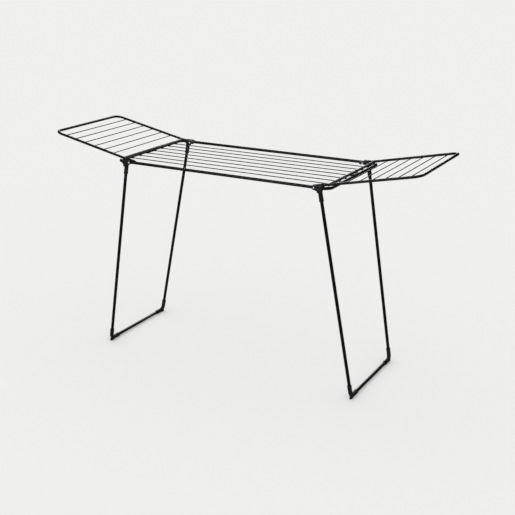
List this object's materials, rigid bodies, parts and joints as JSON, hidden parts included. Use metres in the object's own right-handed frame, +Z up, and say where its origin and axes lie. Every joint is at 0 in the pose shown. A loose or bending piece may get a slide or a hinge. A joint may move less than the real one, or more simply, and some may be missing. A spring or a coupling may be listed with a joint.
{
  "type": "folding winged clothes airer",
  "caption": "Free-standing clothes airer of black steel tube: a wired deck with a folding wing and a splayed folding leg frame hinged at each end.",
  "frame": {"origin": "on the floor, under the middle of the airer", "axes": "+X along the airer from the left wing to the right wing, -Y its front, +Z up"},
  "size_m": [1.7852, 0.5414, 1.0097],
  "materials": {
    "deck_paint": "satin black powder coat on steel tube and wire",
    "leg_paint": "satin black powder coat on steel tube",
    "wing_paint": "satin black powder coat on steel tube and wire",
    "stretcher_coat": "satin dark grey coat on steel tube",
    "bracket_plastic": "matt black moulded plastic",
    "foot_rubber": "matt black rubber",
    "rivet_steel": "bright zinc-plated rivet"
  },
  "bodies": {
    "frame": {"front_rail": "deck_paint", "rear_rail": "deck_paint", "left_end_bow": "deck_paint", "right_end_bow": "deck_paint", "deck_wire_1": "deck_paint", "deck_wire_2": "deck_paint", "deck_wire_3": "deck_paint", "deck_wire_4": "deck_paint", "deck_wire_5": "deck_paint", "deck_wire_6": "deck_paint", "deck_wire_7": "deck_paint", "left_wing_catch": "bracket_plastic", "right_wing_catch": "bracket_plastic", "left_front_rivet": "rivet_steel", "left_rear_rivet": "rivet_steel", "right_front_rivet": "rivet_steel", "right_rear_rivet": "rivet_steel"},
    "left_legs": {"left_front_leg": "leg_paint", "left_front_leg_bracket": "bracket_plastic", "left_front_foot": "bracket_plastic", "left_front_foot_pad": "foot_rubber", "left_rear_leg": "leg_paint", "left_rear_leg_bracket": "bracket_plastic", "left_rear_foot": "bracket_plastic", "left_rear_foot_pad": "foot_rubber", "left_floor_bar": "leg_paint"},
    "left_wing": {"left_wing_tube": "wing_paint", "left_wing_stretcher": "stretcher_coat", "left_wing_wire_1": "wing_paint", "left_wing_wire_2": "wing_paint", "left_wing_wire_3": "wing_paint", "left_wing_wire_4": "wing_paint", "left_wing_wire_5": "wing_paint", "left_wing_wire_6": "wing_paint", "left_front_wing_fitting": "bracket_plastic", "left_rear_wing_fitting": "bracket_plastic"},
    "right_legs": {"right_front_leg": "leg_paint", "right_front_leg_bracket": "bracket_plastic", "right_front_foot": "bracket_plastic", "right_front_foot_pad": "foot_rubber", "right_rear_leg": "leg_paint", "right_rear_leg_bracket": "bracket_plastic", "right_rear_foot": "bracket_plastic", "right_rear_foot_pad": "foot_rubber", "right_floor_bar": "leg_paint"},
    "right_wing": {"right_wing_tube": "wing_paint", "right_wing_stretcher": "stretcher_coat", "right_wing_wire_1": "wing_paint", "right_wing_wire_2": "wing_paint", "right_wing_wire_3": "wing_paint", "right_wing_wire_4": "wing_paint", "right_wing_wire_5": "wing_paint", "right_wing_wire_6": "wing_paint", "right_front_wing_fitting": "bracket_plastic", "right_rear_wing_fitting": "bracket_plastic"}
  },
  "joints": [
    {"name": "right_leg_fold", "type": "hinge", "parent": "frame", "child": "right_legs", "pos_m": [0.453, 0, 0.9115], "axis": [0, 1, 0], "range_deg": [0, 95.5]},
    {"name": "left_leg_fold", "type": "hinge", "parent": "frame", "child": "left_legs", "pos_m": [-0.453, 0, 0.9115], "axis": [0, -1, 0], "range_deg": [0, 99]},
    {"name": "right_wing_fold", "type": "hinge", "parent": "frame", "child": "right_wing", "pos_m": [0.453, 0, 0.9115], "axis": [0, -1, 0], "range_deg": [0, 158]},
    {"name": "left_wing_fold", "type": "hinge", "parent": "frame", "child": "left_wing", "pos_m": [-0.453, 0, 0.9115], "axis": [0, 1, 0], "range_deg": [0, 158]}
  ]
}
